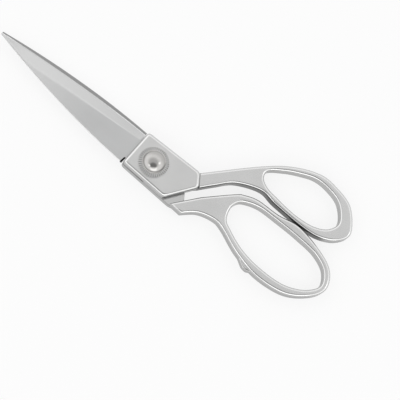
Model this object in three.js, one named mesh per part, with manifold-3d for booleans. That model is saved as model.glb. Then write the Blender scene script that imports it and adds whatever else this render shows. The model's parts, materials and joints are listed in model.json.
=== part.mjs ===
// Bent-handle dressmaking shears, closed, lying on the finger half.
// Millimetres, +Z up. X runs along the blades to the tips, Y to the finger side,
// and the pivot axis stands along Z. Everything is laid out about the pivot and the
// plane where the two halves meet, and the finished group is stood on its footprint.
import * as THREE from 'three';
import { mergeVertices } from 'three/addons/utils/BufferGeometryUtils.js';
import Module from 'manifold-3d';

const wasm = await Module();
wasm.setup();

// Clearances
const RIDE_GAP = 0.1; // between the two halves where they slide on each other
const SEAT_GAP = 0.3; // round a part that is set into another
const TOUCH_GAP = 0.05; // between flat faces that touch
const RUN_GAP = 0.08; // radial, where a hole turns on the bush
const STOP_GAP = 0.5; // between the two bows when the shears are shut

// Blades
const BLADE_LENGTH = 98; // pivot axis to tip
const BLADE_THICKNESS = 2.6; // at the heel
const BLADE_TIP_THICKNESS = 1.1;
const SPINE_REACH = 10; // blade axis to the spine at the heel
const EDGE_REACH = 8.9; // blade axis to the cutting edge at the heel
const SPINE_CURVE = 1.85; // power of the spine's sweep to the tip
const EDGE_CURVE = 1.5; // power of the edge's sweep to the tip
const TIP_SPINE = 0.6;
const TIP_EDGE = 0.3;
const EDGE_LAND = 0.25; // flat left on the honed edge
const RIDGE_START = 4.8; // ridge of the grind, from the blade axis towards the edge at the heel
const RIDGE_SLOPE = 0.113; // how fast the ridge crosses over to the spine
const SPINE_CHAMFER = 0.5;
const HOLLOW_DEPTH = 0.22; // hollow grind of the inner face
const HOLLOW_MARGIN = 1.4; // flat land left along edge and spine
const HOLLOW_FLANK = 0.9; // depth of the hollow a third of the way across, to its full depth
const SLIM_CHAMFER = 0.2; // most of a slim section's width that the chamfer may take
const SLIM_MARGIN = 0.25; // the same for a land beside the hollow
const HEEL_NOTCH = 1.6; // relief between the blade's back and the block
const BLADE_STATIONS = 26; // sections in the loft

// Tangs
const TANG_WIDTH = 13;
const TANG_LENGTH = 16; // behind the pivot axis

// Pivot blocks
const BLOCK_THICKNESS = 5;
const BLOCK_FRONT = 11.6; // pivot axis to the shoulder at the blade
const BLOCK_WIDTH = 20;
const THUMB_BLOCK_SWELL = 1.8; // extra width at the back end, on the shank side
const FINGER_BLOCK_SWELL = 0.2;
const BLOCK_BACK = 25; // pivot axis to the back corner at the shank
const BLOCK_BACK_SHORT = 14.8; // pivot axis to the back corner on the other side
const BLOCK_BACK_CHAMFER = 4.5;
const BLOCK_ROUND = 1.2;
const BLOCK_CORNER_LAND = 0.8; // what a corner's rounding has over the top edge's

// Handles
const HANDLE_THICKNESS = 7;
const HANDLE_ROUND = 1.2; // width of the rounded border in plan
const HANDLE_CROWN = 2.2; // height of the rounded border
const SHANK_ROOT = 2.5; // how far a shank runs into its block
const THUMB_NECK_BOW = 4; // outward bow of the thumb shank's back
const THUMB_NECK_SHARE = 0.5; // where the bow begins, on the way from block to bow
const THUMB_SHOULDER_SHARE = 0.77; // where it ends
const FINGER_WAIST_BOW = 1.9; // hollow of the finger shank's lower edge
const THUMB_SHANK_WIDTH = 6.9;
const FINGER_HEEL = 1.4; // corner of the finger shank behind the block
const FINGER_ROOT_SHARE = 0.13; // start of the finger shank, down the back of the thumb block
const SHANK_SPACE = 3.5; // between the finger shank and the thumb block

// Thumb bow: the hole's size and place, and the walls round it
const THUMB_SHANK = 19.6; // block to hole, along the blade axis
const THUMB_HOLE_Y = -38.6; // blade axis to the middle of the hole
const THUMB_HOLE_LENGTH = 43.8;
const THUMB_HOLE_HEIGHT = 21;
const THUMB_WALL_TOP = 3.75;
const THUMB_WALL_END = 7.9;
const THUMB_WALL_LOW = 3.2;
const THUMB_WALL_NECK = 0;
const THUMB_THROAT_SHARE = 0.405; // lower corner beside the shank, as a share of the hole's length
const THUMB_FORM = [
  [0.98, 0.33], [0.68, -0.24], [0.35, -0.66], [0.03, -0.95], [-0.33, -0.98], [-0.71, -0.77], [-1, -0.06],
  [-0.91, 0.48], [-0.64, 0.85], [-0.16, 1.03], [0.37, 1], [0.76, 0.91], [0.95, 0.67],
]; // outline of the hole, as shares of its half length and half height

// Finger bow, the same way
const FINGER_SHANK = 18.2;
const FINGER_HOLE_Y = -8;
const FINGER_HOLE_LENGTH = 58.8;
const FINGER_HOLE_HEIGHT = 24.4;
const FINGER_WALL_TOP = 3.15;
const FINGER_WALL_END = 3.4;
const FINGER_WALL_LOW = 4.5;
const FINGER_WALL_NECK = 4.7;
const FINGER_WAIST_SHARE = 1.34; // lower corner beside the shank, in neck walls from the hole
const FINGER_FORM = [
  [0.92, 0.43], [1, -0.09], [0.95, -0.48], [0.83, -0.68], [0.63, -0.85], [0.28, -0.92], [-0.18, -0.96],
  [-0.59, -0.9], [-0.86, -0.61], [-0.98, -0.09], [-0.86, 0.4], [-0.54, 0.86], [-0.06, 1.02], [0.38, 0.94],
  [0.76, 0.64],
];
const STOP_SHARE = 0.2; // where the bows meet, back from the middle of the thumb hole

// Pivot set
const SCREW_RADIUS = 2.5;
const SCREW_HEAD_RADIUS = 5;
const SCREW_HEAD_HEIGHT = 2.5;
const SCREW_RECESS = 0.25; // head below the rest face
const SCREW_SLOT_WIDTH = 1.2;
const SCREW_SLOT_DEPTH = 1;
const BUSH_RADIUS = 3.5;
const BUSH_SHELF = 0.4; // metal between the screw's seat and the bush
const SPRING_OUTER = 5.1;
const SPRING_THICKNESS = 0.5;
const SPRING_CROWN = 0.45;
const SPRING_POCKET = 1.25; // depth of the pocket under the toothed washer
const WASHER_RADIUS = 7.9;
const WASHER_ROOT = 6.5;
const WASHER_THICKNESS = 0.9;
const WASHER_TEETH = 42;
const TOOTH_FLANK = 0.3; // shares of one tooth's pitch
const TOOTH_LAND = 0.3;
const CAP_RADIUS = 6;
const CAP_SKIRT = 0.7;
const CAP_DOME = 2.4;
const THREAD_LENGTH = 1.6; // screw inside the cap

// Fineness
const ROUND_SIDES = 48;
const HOLE_SIDES = 56;
const BORE_SIDES = 24;
const ROUND_STEPS = 3;
const CURVE_STEPS = 4;
const TANG_STEPS = 12;
const DOME_STEPS = 8;
const WELD = 1e-4; // points closer than this are one
const CUT_OVER = 1; // how far a cut runs out past the face that it opens

// Finishes
const bladeSteel = new THREE.MeshStandardMaterial({ color: 0xc4c6c6, roughness: 0.32, metalness: 1 });
const chromedHandle = new THREE.MeshStandardMaterial({ color: 0xd2d3d2, roughness: 0.18, metalness: 1 });
const mirrorSteel = new THREE.MeshStandardMaterial({ color: 0xdedbd4, roughness: 0.06, metalness: 1 });
const pivotSteel = new THREE.MeshStandardMaterial({ color: 0xb4b5b4, roughness: 0.3, metalness: 1 });
const bushBronze = new THREE.MeshStandardMaterial({ color: 0xb08a4e, roughness: 0.35, metalness: 1 });

// Solids from geometries, and back

function solid(geometry) {
  const bare = geometry.clone();
  bare.deleteAttribute('normal');
  bare.deleteAttribute('uv');
  const merged = mergeVertices(bare, WELD);
  return new wasm.Manifold(new wasm.Mesh({
    numProp: 3,
    vertProperties: new Float32Array(merged.attributes.position.array),
    triVerts: new Uint32Array(merged.index.array),
  }));
}

function surface(manifold) {
  const mesh = manifold.getMesh();
  const geometry = new THREE.BufferGeometry();
  geometry.setAttribute('position', new THREE.BufferAttribute(mesh.vertProperties, 3));
  geometry.setIndex(new THREE.BufferAttribute(mesh.triVerts, 1));
  geometry.computeVertexNormals();
  return geometry;
}

// Turned over about the blade axis: how one half lies on the other
function flipped(geometry) {
  return geometry.clone().rotateX(Math.PI);
}

function revolved(profile) {
  const points = profile.map(([radius, height]) => new THREE.Vector2(radius, height));
  return new THREE.LatheGeometry(points, ROUND_SIDES).rotateX(Math.PI / 2);
}

// Blade: a loft of sections from heel to tip
// Each section runs round from the edge over the grind, ridge and spine to the hollow face.

const heelX = BLOCK_FRONT + SEAT_GAP;

function bladeSection(share) {
  const x = heelX + (BLADE_LENGTH - heelX) * share;
  const spine = TIP_SPINE + (SPINE_REACH - TIP_SPINE) * (1 - share ** SPINE_CURVE);
  const edge = -TIP_EDGE - (EDGE_REACH - TIP_EDGE) * (1 - share ** EDGE_CURVE);
  const thickness = BLADE_THICKNESS + (BLADE_TIP_THICKNESS - BLADE_THICKNESS) * share;
  const width = spine - edge;
  const chamfer = Math.min(SPINE_CHAMFER, width * SLIM_CHAMFER);
  const ridge = Math.min(RIDGE_SLOPE * (x - BLOCK_FRONT) - RIDGE_START, spine - 2 * chamfer);
  const margin = Math.min(HOLLOW_MARGIN, width * SLIM_MARGIN);
  const hollow = HOLLOW_DEPTH * (1 - share);
  const outline = [
    [edge, 0],
    [edge, EDGE_LAND],
    [ridge, thickness],
    [spine - chamfer, thickness],
    [spine, thickness - chamfer],
    [spine, 0],
    [spine - margin, 0],
    [spine - width / 3, hollow * HOLLOW_FLANK],
    [spine - width / 2, hollow],
    [edge + width / 3, hollow * HOLLOW_FLANK],
    [edge + margin, 0],
  ];
  return outline.map(([y, z]) => new THREE.Vector3(x, y, z));
}

function lofted(sections) {
  const count = sections[0].length;
  const positions = sections.flat().flatMap((p) => [p.x, p.y, p.z]);
  const faces = [];
  for (let i = 0; i + 1 < sections.length; i += 1) {
    for (let j = 0; j < count; j += 1) {
      const a = i * count + j;
      const b = i * count + (j + 1) % count;
      faces.push(a, a + count, b, b, a + count, b + count);
    }
  }
  for (const end of [0, sections.length - 1]) {
    const flat = sections[end].map((p) => new THREE.Vector2(p.y, p.z));
    for (const corners of THREE.ShapeUtils.triangulateShape(flat, [])) {
      const facesTip = THREE.ShapeUtils.area(corners.map((k) => flat[k])) > 0;
      const turned = facesTip === (end > 0) ? corners : corners.toReversed();
      faces.push(...turned.map((k) => end * count + k));
    }
  }
  const geometry = new THREE.BufferGeometry();
  geometry.setAttribute('position', new THREE.Float32BufferAttribute(positions, 3));
  geometry.setIndex(faces);
  return geometry;
}

function tangShape(clearance, front) {
  const half = TANG_WIDTH / 2 + clearance;
  const shape = new THREE.Shape();
  shape.moveTo(front, -half);
  shape.lineTo(front, half);
  shape.lineTo(half - TANG_LENGTH - clearance, half);
  shape.absarc(half - TANG_LENGTH - clearance, 0, half, Math.PI / 2, Math.PI * 1.5, false);
  return shape;
}

function tangPlate(clearance, front, bottom, top) {
  const plate = new THREE.ExtrudeGeometry(tangShape(clearance, front), {
    depth: top - bottom, bevelEnabled: false, curveSegments: TANG_STEPS,
  });
  return plate.translate(0, 0, bottom);
}

function heelNotch() {
  const shape = new THREE.Shape();
  shape.moveTo(heelX - HEEL_NOTCH, SPINE_REACH + HEEL_NOTCH);
  shape.lineTo(heelX - HEEL_NOTCH, SPINE_REACH - HEEL_NOTCH);
  shape.lineTo(heelX, SPINE_REACH - HEEL_NOTCH);
  shape.lineTo(heelX + HEEL_NOTCH, SPINE_REACH + HEEL_NOTCH);
  const wedge = new THREE.ExtrudeGeometry(shape, { depth: BLOCK_THICKNESS, bevelEnabled: false });
  return wedge.translate(0, 0, -RIDE_GAP);
}

function bladeSolid() {
  const sections = [];
  for (let i = 0; i <= BLADE_STATIONS; i += 1) {
    sections.push(bladeSection(i / BLADE_STATIONS));
  }
  const blade = solid(lofted(sections).translate(0, 0, RIDE_GAP / 2));
  const tang = solid(tangPlate(0, heelX + SEAT_GAP, RIDE_GAP / 2, RIDE_GAP / 2 + BLADE_THICKNESS));
  return blade.add(tang).subtract(solid(heelNotch()));
}

// Pivot block of the thumb half, above the meeting plane

function blockShape(swell) {
  const side = BLOCK_WIDTH / 2;
  const rounding = BLOCK_ROUND + BLOCK_CORNER_LAND;
  const corners = [
    [BLOCK_FRONT, side],
    [-BLOCK_BACK_SHORT, side],
    [-BLOCK_BACK, -side + BLOCK_BACK_CHAMFER],
    [-BLOCK_BACK + BLOCK_BACK_CHAMFER, -side - swell],
    [BLOCK_FRONT, -side],
  ].map(([x, y]) => new THREE.Vector2(x, y));
  const shape = new THREE.Shape();
  corners.forEach((corner, i) => {
    const before = corners[(i + corners.length - 1) % corners.length];
    const after = corners[(i + 1) % corners.length];
    const start = corner.clone().add(before.clone().sub(corner).setLength(rounding));
    const end = corner.clone().add(after.clone().sub(corner).setLength(rounding));
    if (i === 0) {
      shape.moveTo(start.x, start.y);
    } else {
      shape.lineTo(start.x, start.y);
    }
    shape.quadraticCurveTo(corner.x, corner.y, end.x, end.y);
  });
  return shape;
}

function blockGeometry(swell) {
  const block = new THREE.ExtrudeGeometry(blockShape(swell), {
    depth: 2 * BLOCK_THICKNESS - 2 * BLOCK_ROUND,
    bevelThickness: BLOCK_ROUND,
    bevelSize: BLOCK_ROUND,
    bevelOffset: -BLOCK_ROUND,
    bevelSegments: ROUND_STEPS,
    curveSegments: ROUND_STEPS,
  }).translate(0, 0, BLOCK_ROUND - BLOCK_THICKNESS);
  const span = 4 * BLOCK_BACK;
  const below = new THREE.BoxGeometry(span, span, span).translate(0, 0, RIDE_GAP / 2 - span / 2);
  return surface(solid(block).subtract(solid(below)));
}

// Bows

const thumbBow = {
  x: -BLOCK_BACK - THUMB_SHANK - THUMB_HOLE_LENGTH / 2, y: THUMB_HOLE_Y, form: THUMB_FORM,
  length: THUMB_HOLE_LENGTH / 2, height: THUMB_HOLE_HEIGHT / 2,
  end: THUMB_WALL_END, top: THUMB_WALL_TOP, low: THUMB_WALL_LOW, neck: THUMB_WALL_NECK,
};
const fingerBow = {
  x: -BLOCK_BACK - FINGER_SHANK - FINGER_HOLE_LENGTH / 2, y: FINGER_HOLE_Y, form: FINGER_FORM,
  length: FINGER_HOLE_LENGTH / 2, height: FINGER_HOLE_HEIGHT / 2,
  end: FINGER_WALL_END, top: FINGER_WALL_TOP, low: FINGER_WALL_LOW, neck: FINGER_WALL_NECK,
};

function holePoint(bow, [along, across]) {
  return [bow.x + along * bow.length, bow.y + across * bow.height];
}

function rimPoint(bow, [along, across]) {
  const reach = bow.length + (along < 0 ? bow.end : bow.neck);
  const rise = bow.height + (across < 0 ? bow.top : bow.low);
  return [bow.x + along * reach, bow.y + across * rise];
}

// A point between two others, pushed sideways to the left of the way from one to the other
function between(from, to, share, push) {
  const run = new THREE.Vector2(to[0] - from[0], to[1] - from[1]);
  const side = new THREE.Vector2(-run.y, run.x).setLength(push);
  return [from[0] + run.x * share + side.x, from[1] + run.y * share + side.y];
}

// Cutter for a bow's hole, flared at both faces so that the hole's border is rounded
function holeCutter(bow) {
  const knots = bow.form.map((share) => new THREE.Vector3(...holePoint(bow, share), 0));
  const outline = new THREE.CatmullRomCurve3(knots, true, 'centripetal').getPoints(HOLE_SIDES).slice(1);
  const ring = (height, flare) => outline.map((point, i) => {
    const before = outline[(i + outline.length - 1) % outline.length];
    const after = outline[(i + 1) % outline.length];
    const outward = new THREE.Vector2(before.y - after.y, after.x - before.x).setLength(flare);
    return new THREE.Vector3(height, point.x + outward.x, point.y + outward.y);
  });
  const half = HANDLE_THICKNESS / 2;
  const rings = [];
  for (let i = 0; i <= ROUND_STEPS; i += 1) {
    const angle = (i / ROUND_STEPS) * Math.PI / 2;
    rings.push(ring(half - HANDLE_CROWN * (1 - Math.sin(angle)), HANDLE_ROUND * (1 - Math.cos(angle))));
  }
  rings.push(ring(half + CUT_OVER, HANDLE_ROUND));
  const mirrored = rings.toReversed().map((points) => points.map((p) => new THREE.Vector3(-p.x, p.y, p.z)));
  const upright = new THREE.Matrix4().set(0, 1, 0, 0, 0, 0, 1, 0, 1, 0, 0, 0, 0, 0, 0, 1);
  return solid(lofted([...mirrored, ...rings]).applyMatrix4(upright));
}

// A handle plate: a smooth run of points, then straight corners back to the start
function plateSolid(run, corners, bow) {
  const shape = new THREE.Shape();
  shape.moveTo(...run[0]);
  shape.splineThru(run.slice(1).map(([x, y]) => new THREE.Vector2(x, y)));
  for (const corner of corners) {
    shape.lineTo(...corner);
  }
  const plate = new THREE.ExtrudeGeometry(shape, {
    depth: HANDLE_THICKNESS - 2 * HANDLE_CROWN,
    bevelThickness: HANDLE_CROWN,
    bevelSize: HANDLE_ROUND,
    bevelOffset: -HANDLE_ROUND,
    bevelSegments: ROUND_STEPS,
    curveSegments: CURVE_STEPS,
  }).translate(0, 0, HANDLE_CROWN - HANDLE_THICKNESS / 2);
  return solid(plate).subtract(holeCutter(bow));
}

// Where the bows meet when the shears are shut
const stopX = thumbBow.x - STOP_SHARE * THUMB_HOLE_LENGTH;
const stopY = THUMB_HOLE_Y + THUMB_HOLE_HEIGHT / 2 + THUMB_WALL_LOW;

function thumbPlate() {
  const rim = THUMB_FORM.map((share) => rimPoint(thumbBow, share));
  const backUpper = [-BLOCK_BACK + BLOCK_BACK_CHAMFER, -BLOCK_WIDTH / 2 - THUMB_BLOCK_SWELL];
  const backLower = [-BLOCK_BACK, -BLOCK_WIDTH / 2 + BLOCK_BACK_CHAMFER];
  const neck = between(backUpper, rim[3], THUMB_NECK_SHARE, THUMB_NECK_BOW);
  const shoulder = between(backUpper, rim[3], THUMB_SHOULDER_SHARE, THUMB_NECK_BOW);
  const underNeck = between(backUpper, neck, 0.5, -THUMB_SHANK_WIDTH);
  const throat = [thumbBow.x + THUMB_THROAT_SHARE * THUMB_HOLE_LENGTH, stopY];
  const run = [
    backUpper,
    neck,
    shoulder,
    ...rim.slice(3, 9),
    [stopX, stopY - STOP_GAP / 2],
    rim[10],
    throat,
    underNeck,
    backLower,
  ];
  const corners = [
    [backLower[0] + SHANK_ROOT, backLower[1] + SHANK_ROOT],
    [backUpper[0] + SHANK_ROOT, backUpper[1] + SHANK_ROOT],
  ];
  return plateSolid(run, corners, thumbBow);
}

function fingerPlate() {
  const rim = FINGER_FORM.map((share) => rimPoint(fingerBow, share));
  const side = BLOCK_WIDTH / 2;
  const front = [-BLOCK_BACK_SHORT, side];
  const back = [-BLOCK_BACK, BLOCK_BACK_CHAMFER - side];
  const heel = [-BLOCK_BACK - FINGER_HEEL, side];
  const root = between(front, back, FINGER_ROOT_SHARE, -SHANK_SPACE);
  const fork = between(front, back, 1, -SHANK_SPACE);
  const waist = [
    fingerBow.x + fingerBow.length + FINGER_WAIST_SHARE * FINGER_WALL_NECK,
    FINGER_HOLE_Y + fingerBow.height,
  ];
  const run = [
    fork,
    ...rim.slice(2, 6),
    [stopX, stopY + STOP_GAP / 2],
    ...rim.slice(7),
    waist,
    between(waist, heel, 0.5, -FINGER_WAIST_BOW),
    heel,
  ];
  return plateSolid(run, [root], fingerBow);
}

// Pivot heights from the meeting plane
const restZ = -BLOCK_THICKNESS;
const headBottom = restZ + SCREW_RECESS;
const headTop = headBottom + SCREW_HEAD_HEIGHT;
const shelfTop = headTop + BUSH_SHELF;
const pocketFloor = BLOCK_THICKNESS - SPRING_POCKET;
const washerFloor = BLOCK_THICKNESS + TOUCH_GAP;
const capFloor = washerFloor + WASHER_THICKNESS + TOUCH_GAP;
const screwTop = capFloor + THREAD_LENGTH - TOUCH_GAP;

function fingerBore() {
  const head = SCREW_HEAD_RADIUS + SEAT_GAP;
  const neck = SCREW_RADIUS + SEAT_GAP;
  const seat = BUSH_RADIUS + TOUCH_GAP;
  return solid(revolved([
    [0, restZ - CUT_OVER],
    [head, restZ - CUT_OVER],
    [head, headBottom],
    [neck, headTop],
    [neck, shelfTop],
    [seat, shelfTop],
    [seat, CUT_OVER],
    [0, CUT_OVER],
  ]));
}

function thumbBore() {
  const run = BUSH_RADIUS + RUN_GAP;
  const pocket = SPRING_OUTER + SEAT_GAP;
  return solid(revolved([
    [0, -CUT_OVER],
    [run, -CUT_OVER],
    [run, pocketFloor],
    [pocket, pocketFloor],
    [pocket, BLOCK_THICKNESS + CUT_OVER],
    [0, BLOCK_THICKNESS + CUT_OVER],
  ]));
}

function tangPocket() {
  const roof = RIDE_GAP / 2 + BLADE_THICKNESS + SEAT_GAP;
  return tangPlate(SEAT_GAP, BLOCK_FRONT + CUT_OVER, -CUT_OVER, roof);
}

function thumbHandle() {
  return solid(blockGeometry(THUMB_BLOCK_SWELL))
    .add(thumbPlate())
    .subtract(solid(tangPocket()))
    .subtract(thumbBore());
}

function fingerHandle() {
  return solid(flipped(blockGeometry(FINGER_BLOCK_SWELL)))
    .add(fingerPlate())
    .subtract(solid(flipped(tangPocket())))
    .subtract(fingerBore());
}

function pivotScrew() {
  const screw = revolved([
    [0, headBottom],
    [SCREW_HEAD_RADIUS, headBottom],
    [SCREW_RADIUS, headTop],
    [SCREW_RADIUS, screwTop],
    [0, screwTop],
  ]);
  const slot = new THREE.BoxGeometry(4 * SCREW_HEAD_RADIUS, SCREW_SLOT_WIDTH, 2 * SCREW_SLOT_DEPTH);
  return solid(screw).subtract(solid(slot.translate(0, 0, headBottom)));
}

function pivotBush() {
  const bore = SCREW_RADIUS + RUN_GAP;
  const bottom = shelfTop + TOUCH_GAP;
  const top = BLOCK_THICKNESS - SEAT_GAP;
  return revolved([[bore, bottom], [BUSH_RADIUS, bottom], [BUSH_RADIUS, top], [bore, top], [bore, bottom]]);
}

// A coned washer, high at its inner edge
function springWasher() {
  const inner = BUSH_RADIUS + SEAT_GAP;
  const low = pocketFloor + TOUCH_GAP;
  const high = low + SPRING_CROWN;
  return revolved([
    [inner, high],
    [SPRING_OUTER, low],
    [SPRING_OUTER, low + SPRING_THICKNESS],
    [inner, high + SPRING_THICKNESS],
    [inner, high],
  ]);
}

function toothedWasher() {
  const shape = new THREE.Shape();
  const pitch = 2 * Math.PI / WASHER_TEETH;
  const steps = [
    [WASHER_ROOT, 0],
    [WASHER_RADIUS, TOOTH_FLANK],
    [WASHER_RADIUS, TOOTH_FLANK + TOOTH_LAND],
    [WASHER_ROOT, 2 * TOOTH_FLANK + TOOTH_LAND],
  ];
  const points = [];
  for (let tooth = 0; tooth < WASHER_TEETH; tooth += 1) {
    for (const [radius, share] of steps) {
      const angle = (tooth + share) * pitch;
      points.push(new THREE.Vector2(radius * Math.cos(angle), radius * Math.sin(angle)));
    }
  }
  shape.setFromPoints(points);
  const hole = new THREE.Path();
  hole.absarc(0, 0, SCREW_RADIUS + SEAT_GAP, 0, 2 * Math.PI, true);
  shape.holes.push(hole);
  const washer = new THREE.ExtrudeGeometry(shape, {
    depth: WASHER_THICKNESS, bevelEnabled: false, curveSegments: BORE_SIDES,
  });
  return washer.translate(0, 0, washerFloor);
}

function pivotCap() {
  const bore = SCREW_RADIUS + RUN_GAP;
  const ceiling = capFloor + THREAD_LENGTH;
  const rim = capFloor + CAP_SKIRT;
  const profile = [[0, ceiling], [bore, ceiling], [bore, capFloor], [CAP_RADIUS, capFloor]];
  for (let i = 0; i < DOME_STEPS; i += 1) {
    const angle = (i / DOME_STEPS) * Math.PI / 2;
    profile.push([CAP_RADIUS * Math.cos(angle), rim + CAP_DOME * Math.sin(angle)]);
  }
  profile.push([0, rim + CAP_DOME]);
  return revolved(profile);
}

// Assembly

const shears = new THREE.Group();

function place(name, geometry, material) {
  const mesh = new THREE.Mesh(geometry, material);
  mesh.name = name;
  shears.add(mesh);
  return mesh;
}

const blade = surface(bladeSolid());
const thumbBlade = surface(solid(blade).subtract(thumbBore()));
const fingerBlade = surface(solid(flipped(blade)).subtract(fingerBore()));
place('finger_handle', surface(fingerHandle()), chromedHandle);
place('finger_blade', fingerBlade, bladeSteel);
place('pivot_bush', pivotBush(), bushBronze);
place('thumb_handle', surface(thumbHandle()), chromedHandle);
place('thumb_blade', thumbBlade, bladeSteel);
place('spring_washer', springWasher(), pivotSteel);
place('toothed_washer', toothedWasher(), pivotSteel);
place('pivot_screw', surface(pivotScrew()), pivotSteel);
place('pivot_cap', pivotCap(), mirrorSteel);

// Stood on the table with its footprint centred on the origin
const box = new THREE.Box3().setFromObject(shears);
const middle = box.getCenter(new THREE.Vector3());
shears.position.set(-middle.x, -middle.y, -box.min.z);

export default shears;
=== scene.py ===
"""Bent-handle dressmaking shears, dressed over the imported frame.

Every piece is laid out about the pivot axis, with heights from the plane where the two
halves meet, and is then moved to the pivot. The block and blade of the finger half are
those of the thumb half turned over about the blade axis.
"""
import json
from math import cos, pi, radians, sin
from types import SimpleNamespace

import bmesh
import bpy
from bpy.props import FloatProperty, FloatVectorProperty, IntProperty, PointerProperty
from mathutils import Matrix, Vector
from mathutils.bvhtree import BVHTree
from mathutils.geometry import interpolate_bezier


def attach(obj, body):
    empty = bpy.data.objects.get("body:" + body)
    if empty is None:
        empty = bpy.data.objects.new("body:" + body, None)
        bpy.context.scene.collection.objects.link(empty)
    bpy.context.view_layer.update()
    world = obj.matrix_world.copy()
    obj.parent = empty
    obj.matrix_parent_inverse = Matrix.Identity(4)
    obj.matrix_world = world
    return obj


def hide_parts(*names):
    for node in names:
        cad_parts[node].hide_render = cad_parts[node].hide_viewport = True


bl_info = {
    "name": "Dressmaking Shears",
    "version": (1, 0, 0),
    "blender": (4, 5, 0),
    "location": "View3D > Sidebar > Shears",
    "description": "Builds the blades, handles and pivot of bent dressmaking shears",
    "category": "Add Mesh",
}

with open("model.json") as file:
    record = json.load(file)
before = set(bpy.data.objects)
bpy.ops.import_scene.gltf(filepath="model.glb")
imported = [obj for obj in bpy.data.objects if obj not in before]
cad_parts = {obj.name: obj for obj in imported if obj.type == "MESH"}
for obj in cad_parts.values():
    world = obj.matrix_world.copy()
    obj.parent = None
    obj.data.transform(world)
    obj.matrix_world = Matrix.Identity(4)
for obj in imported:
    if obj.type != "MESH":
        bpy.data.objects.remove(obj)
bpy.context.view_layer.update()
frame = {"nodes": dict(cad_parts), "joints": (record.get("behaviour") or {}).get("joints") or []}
PIVOT = Vector(frame["joints"][0]["pos_m"])

THUMB_HALF = "thumb_half"
FINGER_HALF = "finger_half"


# Sizes and finishes

def length(name, description, default):
    return FloatProperty(
        name=name, description=description, default=default,
        min=0.0, precision=5, subtype="DISTANCE", unit="LENGTH",
    )


def place(name, description, default):
    return FloatProperty(
        name=name, description=description, default=default,
        precision=5, subtype="DISTANCE", unit="LENGTH",
    )


def share(name, description, default):
    return FloatProperty(name=name, description=description, default=default, min=0.0, subtype="FACTOR")


def angle(name, description, degrees):
    return FloatProperty(
        name=name, description=description, default=radians(degrees), subtype="ANGLE", unit="ROTATION")


def colour(name, description, default):
    return FloatVectorProperty(
        name=name, description=description, default=(*default, 1.0),
        size=4, min=0.0, max=1.0, subtype="COLOR",
    )


class ShearsBladeSizes(bpy.types.PropertyGroup):
    reach: length("Reach", "Pivot axis to the tip", 0.098)
    thickness: length("Thickness", "Blade thickness at the heel", 0.0026)
    tip_thickness: length("Tip thickness", "Blade thickness at the tip", 0.0011)
    spine: length("Spine", "Blade axis to the spine at the heel", 0.010)
    edge: length("Edge", "Blade axis to the cutting edge at the heel", 0.0089)
    tip_spine: length("Tip spine", "Blade axis to the spine at the tip", 0.0009)
    tip_edge: length("Tip edge", "Blade axis to the cutting edge at the tip", 0.0003)
    spine_sweep: share("Spine sweep", "Power of the spine's curve to the tip", 1.85)
    edge_sweep: share("Edge sweep", "Power of the edge's curve to the tip", 1.5)
    land: length("Edge land", "Height of the grind where it meets the edge", 0.00025)
    hone: length("Hone", "Width of the honed bevel along the edge", 0.0006)
    ridge: length("Ridge", "Blade axis to the ridge of the grind at the heel", 0.0048)
    ridge_slope: share("Ridge slope", "How fast the ridge crosses over to the spine", 0.113)
    chamfer: length("Spine chamfer", "Rounding of the outer corner of the spine", 0.0005)
    hollow: length("Hollow", "Depth of the hollow grind of the inner face", 0.00022)
    margin: length("Hollow margin", "Flat land beside the hollow", 0.0014)
    notch: length("Heel notch", "Width of the relief between the spine and the block", 0.0012)
    notch_depth: length("Notch depth", "Depth of the relief from the spine", 0.0029)
    notch_web: length("Notch web", "Steel left under the relief", 0.0004)
    tang_width: length("Tang width", "Width of the tang in the block", 0.013)
    tang_length: length("Tang length", "Tang behind the pivot axis", 0.016)


class ShearsHandleSizes(bpy.types.PropertyGroup):
    thickness: length("Thickness", "Thickness of shanks and bows", 0.007)
    border: length("Border", "Width of the rounded border", 0.0013)
    crown: length("Crown", "Height of the rounded border", 0.0009)
    shank_root: length("Shank root", "How far a shank runs into its block", 0.0025)
    shank_space: length("Shank space", "Between the finger shank and the thumb block", 0.0035)
    shank_flare: length("Shank flare", "Extra space at the back corner of the thumb block", 0.001)
    neck_bow: length("Neck bow", "Outward bow of the thumb shank", 0.0037)
    thumb_shank: length("Thumb shank width", "Width of the thumb shank", 0.00705)
    throat: length("Throat", "Thumb bow's lower edge inside the meeting line at the shank", 0.0006)
    waist_bow: length("Waist bow", "Hollow of the finger shank's lower edge", 0.0018)
    heel: length("Finger heel", "Corner of the finger shank behind the block", 0.0014)
    seam: length("Seam", "Width of the line where a shank comes out of its block", 0.00045)
    # Walls closer than this get painted shade
    gap_reach: length("Gap reach", "Walls closer than this are dull", 0.009)
    stop_gap: length("Stop gap", "Between the bows when the shears are shut", 0.0005)


class ShearsBlockSizes(bpy.types.PropertyGroup):
    thickness: length("Thickness", "Meeting plane to the outer face", 0.005)
    front: length("Front", "Pivot axis to the shoulder at the blade", 0.0116)
    width: length("Width", "Width of the block", 0.020)
    back: length("Back", "Pivot axis to the back corner at the shank", 0.025)
    back_short: length("Short back", "Pivot axis to the other back corner", 0.0148)
    back_chamfer: length("Back chamfer", "Corner cut at the shank", 0.0045)
    thumb_swell: length("Thumb swell", "Extra width at the thumb shank", 0.0018)
    finger_swell: length("Finger swell", "Extra width at the finger shank", 0.0002)
    border: length("Border", "Width of the rounded outer border", 0.0016)
    crown: length("Crown", "Height of the rounded outer border", 0.0011)
    corner: length("Corner", "Length of a corner's rounding", 0.002)
    arris: length("Arris", "Small bevel along the meeting face", 0.0003)
    relief: length("Relief", "Height of the open line beside the pivot", 0.0016)
    relief_depth: length("Relief depth", "How far the open line goes in", 0.0015)
    relief_end: length("Relief end", "Pivot axis to the back end of the open line", 0.0023)


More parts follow.
